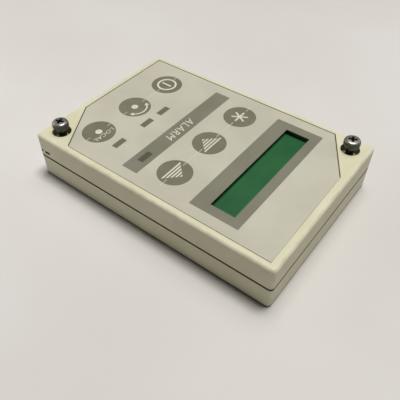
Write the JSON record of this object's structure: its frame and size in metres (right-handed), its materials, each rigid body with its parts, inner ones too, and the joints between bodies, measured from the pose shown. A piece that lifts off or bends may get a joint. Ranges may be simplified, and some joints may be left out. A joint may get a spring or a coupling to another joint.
{
  "type": "operator panel",
  "caption": "Flat cream operator panel for a ventilation unit, with a recessed text display, round film keys, indicator windows and captive corner screws.",
  "frame": {"origin": "centre of the back face", "axes": "+Z out of the front face, +Y towards the display end, +X to the panel's right"},
  "size_m": [0.092, 0.1366, 0.0312],
  "materials": {
    "cover_plastic": "fine-textured cream ABS",
    "seal_rubber": "dull",
    "film": "fine-textured printed polyester",
    "adhesive": "clear acrylic glue",
    "lens": "dark tinted",
    "key_print": "taupe ink under polyester",
    "plunger_plastic": "moulded",
    "gasket_foam": "closed-cell foam",
    "bezel_metal": "black satin",
    "display_green": "polarising film over glass",
    "light_guide": "milky",
    "strip_rubber": "layered",
    "display_board": "green solder mask",
    "potting": "black epoxy",
    "zinc_screw": "zinc plated",
    "black_moulding": "glass-filled",
    "gold_pin": "gold flash",
    "main_board": "green solder mask",
    "chip_epoxy": "fine-grained epoxy",
    "bright_can": "drawn can",
    "led_resin": "tinted resin",
    "terminal_plastic": "green polyamide",
    "captive_screw": "bright zinc, slightly dulled",
    "washer_steel": "oiled spring steel",
    "ring_nylon": "natural nylon"
  },
  "bodies": {
    "case": {"board_screws": "zinc_screw", "capacitors": "bright_can", "case_screws": "zinc_screw", "case_seal": "seal_rubber", "contact_strips": "strip_rubber", "controller_chip": "chip_epoxy", "crystal_can": "bright_can", "display_backlight": "light_guide", "display_bezel": "bezel_metal", "display_board": "display_board", "display_gasket": "gasket_foam", "display_glass": "display_green", "display_screws": "zinc_screw", "driver_blobs": "potting", "film_adhesive": "adhesive", "front_cover": "cover_plastic", "header_housing": "black_moulding", "header_pins": "gold_pin", "indicator_leds": "led_resin", "indicator_lenses": "lens", "led_spacers": "black_moulding", "line_driver_chip": "chip_epoxy", "main_board": "main_board", "overlay_film": "film", "rear_cover": "cover_plastic", "retaining_rings": "ring_nylon", "switch_bodies": "black_moulding", "terminal_block": "terminal_plastic", "terminal_pins": "gold_pin", "terminal_screws": "zinc_screw"},
    "button_star": {"key_star": "key_print", "plunger_star": "plunger_plastic"},
    "button_down": {"key_down": "key_print", "plunger_down": "plunger_plastic"},
    "button_up": {"key_up": "key_print", "plunger_up": "plunger_plastic"},
    "button_start_stop": {"key_start_stop": "key_print", "plunger_start_stop": "plunger_plastic"},
    "button_direction": {"key_direction": "key_print", "plunger_direction": "plunger_plastic"},
    "button_local": {"key_local": "key_print", "plunger_local": "plunger_plastic"},
    "washer_top": {"lock_washer_top": "washer_steel"},
    "screw_top": {"captive_screw_top": "captive_screw"},
    "washer_bottom": {"lock_washer_bottom": "washer_steel"},
    "screw_bottom": {"captive_screw_bottom": "captive_screw"}
  },
  "joints": [
    {"name": "press_star", "type": "slide", "parent": "case", "child": "button_star", "axis": [0, 0, -1], "range_m": [0, 0.0004], "stiffness_N_per_m": 4000, "springref_m": -0.00005},
    {"name": "press_down", "type": "slide", "parent": "case", "child": "button_down", "axis": [0, 0, -1], "range_m": [0, 0.0004], "stiffness_N_per_m": 4000, "springref_m": -0.00005},
    {"name": "press_up", "type": "slide", "parent": "case", "child": "button_up", "axis": [0, 0, -1], "range_m": [0, 0.0004], "stiffness_N_per_m": 4000, "springref_m": -0.00005},
    {"name": "press_start_stop", "type": "slide", "parent": "case", "child": "button_start_stop", "axis": [0, 0, -1], "range_m": [0, 0.0004], "stiffness_N_per_m": 4000, "springref_m": -0.00005},
    {"name": "press_direction", "type": "slide", "parent": "case", "child": "button_direction", "axis": [0, 0, -1], "range_m": [0, 0.0004], "stiffness_N_per_m": 4000, "springref_m": -0.00005},
    {"name": "press_local", "type": "slide", "parent": "case", "child": "button_local", "axis": [0, 0, -1], "range_m": [0, 0.0004], "stiffness_N_per_m": 4000, "springref_m": -0.00005},
    {"name": "slide_top", "type": "slide", "parent": "case", "child": "washer_top", "axis": [0, 0, 1], "range_m": [-0.0064, 0]},
    {"name": "turn_top", "type": "hinge", "parent": "washer_top", "child": "screw_top", "pos_m": [-0.0367, 0.0593, 0.0281], "axis": [0, 0, 1], "continuous": true},
    {"name": "slide_bottom", "type": "slide", "parent": "case", "child": "washer_bottom", "axis": [0, 0, 1], "range_m": [-0.0064, 0]},
    {"name": "turn_bottom", "type": "hinge", "parent": "washer_bottom", "child": "screw_bottom", "pos_m": [0.0367, -0.0593, 0.0281], "axis": [0, 0, 1], "continuous": true}
  ]
}
